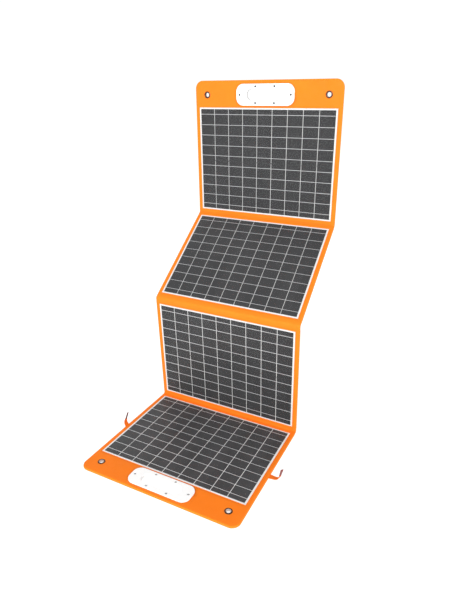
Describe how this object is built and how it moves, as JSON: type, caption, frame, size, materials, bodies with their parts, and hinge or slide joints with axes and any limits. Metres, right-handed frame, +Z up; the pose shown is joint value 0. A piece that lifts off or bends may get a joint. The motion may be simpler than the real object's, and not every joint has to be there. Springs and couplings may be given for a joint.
{
  "type": "folding solar suitcase kit",
  "caption": "Fabric folding solar charger: four hinged leaves in a W fold, a hand-slot plate on each end flap, eyelets, side tabs, rear stand and controller pocket.",
  "frame": {"origin": "on the ground under the middle of leaf 1's solar laminate", "axes": "+X along the folds to the right of someone facing the kit, +Y away from the handle of leaf 1, +Z up"},
  "size_m": [0.5095, 0.691, 0.9954],
  "materials": {
    "orange_cloth": "coated woven polyester, satin",
    "back_cloth": "coated woven polyester, matt",
    "stiffener": "polypropylene board",
    "white_backsheet": "semi-matt white film",
    "solar_cell": "dark silicon under clear film",
    "tinned_ribbon": "tinned copper",
    "clear_sheet": "clear fluoropolymer sheet, finely dimpled",
    "lead_jacket": "black flat lead",
    "white_plastic": "moulded, fine texture",
    "screw_steel": "zinc plated",
    "eyelet_nickel": "nickel plated",
    "tab_webbing": "woven webbing",
    "tab_hook": "thin moulded hook strip",
    "rubber_foot": "matt",
    "stay_webbing": "black webbing",
    "controller_plastic": "fine spark texture",
    "circuit_board": "solder mask",
    "socket_steel": "plated shell"
  },
  "bodies": {
    "leaf_1": {"leaf_1_back_skin": "back_cloth", "leaf_1_board": "stiffener", "leaf_1_front_skin": "orange_cloth", "leaf_1_backsheet": "white_backsheet", "leaf_1_cells": "solar_cell", "leaf_1_ribbons": "tinned_ribbon", "leaf_1_front_sheet": "clear_sheet", "fold_web_12": "orange_cloth", "jumper_leads_12": "lead_jacket", "front_handle_plate": "white_plastic", "front_backing_plate": "white_plastic", "front_handle_screws": "screw_steel", "front_eyelets": "eyelet_nickel", "front_eyelet_washers": "eyelet_nickel"},
    "leaf_2": {"leaf_2_back_skin": "back_cloth", "leaf_2_board": "stiffener", "leaf_2_front_skin": "orange_cloth", "leaf_2_backsheet": "white_backsheet", "leaf_2_cells": "solar_cell", "leaf_2_ribbons": "tinned_ribbon", "leaf_2_front_sheet": "clear_sheet", "fold_web_23": "orange_cloth", "jumper_leads_23": "lead_jacket", "stand_hinge_patch": "back_cloth", "stand_hinge_web": "back_cloth", "stand_stays": "stay_webbing"},
    "leaf_3": {"leaf_3_back_skin": "back_cloth", "leaf_3_board": "stiffener", "leaf_3_front_skin": "orange_cloth", "leaf_3_backsheet": "white_backsheet", "leaf_3_cells": "solar_cell", "leaf_3_ribbons": "tinned_ribbon", "leaf_3_front_sheet": "clear_sheet", "fold_web_34": "orange_cloth", "jumper_leads_34": "lead_jacket"},
    "leaf_4": {"leaf_4_back_skin": "back_cloth", "leaf_4_board": "stiffener", "leaf_4_front_skin": "orange_cloth", "leaf_4_backsheet": "white_backsheet", "leaf_4_cells": "solar_cell", "leaf_4_ribbons": "tinned_ribbon", "leaf_4_front_sheet": "clear_sheet", "top_handle_plate": "white_plastic", "top_backing_plate": "white_plastic", "top_handle_screws": "screw_steel", "top_eyelets": "eyelet_nickel", "top_eyelet_washers": "eyelet_nickel", "controller_pocket": "back_cloth", "controller_tray": "controller_plastic", "controller_lid": "controller_plastic", "controller_circuit_board": "circuit_board", "controller_sockets": "socket_steel"},
    "stand": {"stand_board": "stiffener", "stand_sleeve": "back_cloth", "stand_foot": "rubber_foot"},
    "left_tab": {"left_tab_strap": "tab_webbing", "left_tab_end": "tab_hook"},
    "right_tab": {"right_tab_strap": "tab_webbing", "right_tab_end": "tab_hook"}
  },
  "joints": [
    {"name": "fold_12", "type": "hinge", "parent": "leaf_1", "child": "leaf_2", "pos_m": [0, 0.173, 0.009], "axis": [-1, 0, 0], "range_deg": [-85, 95], "deforming": ["fold_web_12", "jumper_leads_12"]},
    {"name": "fold_23", "type": "hinge", "parent": "leaf_2", "child": "leaf_3", "pos_m": [0, 0.15445, 0.35871], "axis": [1, 0, 0], "range_deg": [-123, 57], "deforming": ["fold_web_23", "jumper_leads_23"]},
    {"name": "fold_34", "type": "hinge", "parent": "leaf_3", "child": "leaf_4", "pos_m": [0, 0.42287, 0.58365], "axis": [-1, 0, 0], "range_deg": [-124.5, 55.5], "deforming": ["fold_web_34", "jumper_leads_34"]},
    {"name": "stand_swing", "type": "hinge", "parent": "leaf_2", "child": "stand", "pos_m": [0, 0.1568, 0.33182], "axis": [1, 0, 0], "range_deg": [-11, 5.2], "deforming": ["stand_hinge_web", "stand_stays"]},
    {"name": "left_tab_swing", "type": "hinge", "parent": "leaf_1", "child": "left_tab", "pos_m": [-0.234, -0.028, 0.0026], "axis": [0, -1, 0], "range_deg": [-2, 52]},
    {"name": "right_tab_swing", "type": "hinge", "parent": "leaf_1", "child": "right_tab", "pos_m": [0.234, -0.036, 0.0026], "axis": [0, 1, 0], "range_deg": [-40, 3]}
  ],
  "couplings": [
    {"joint": "stand_swing", "follows": "fold_23", "ratio": 0.089431}
  ]
}
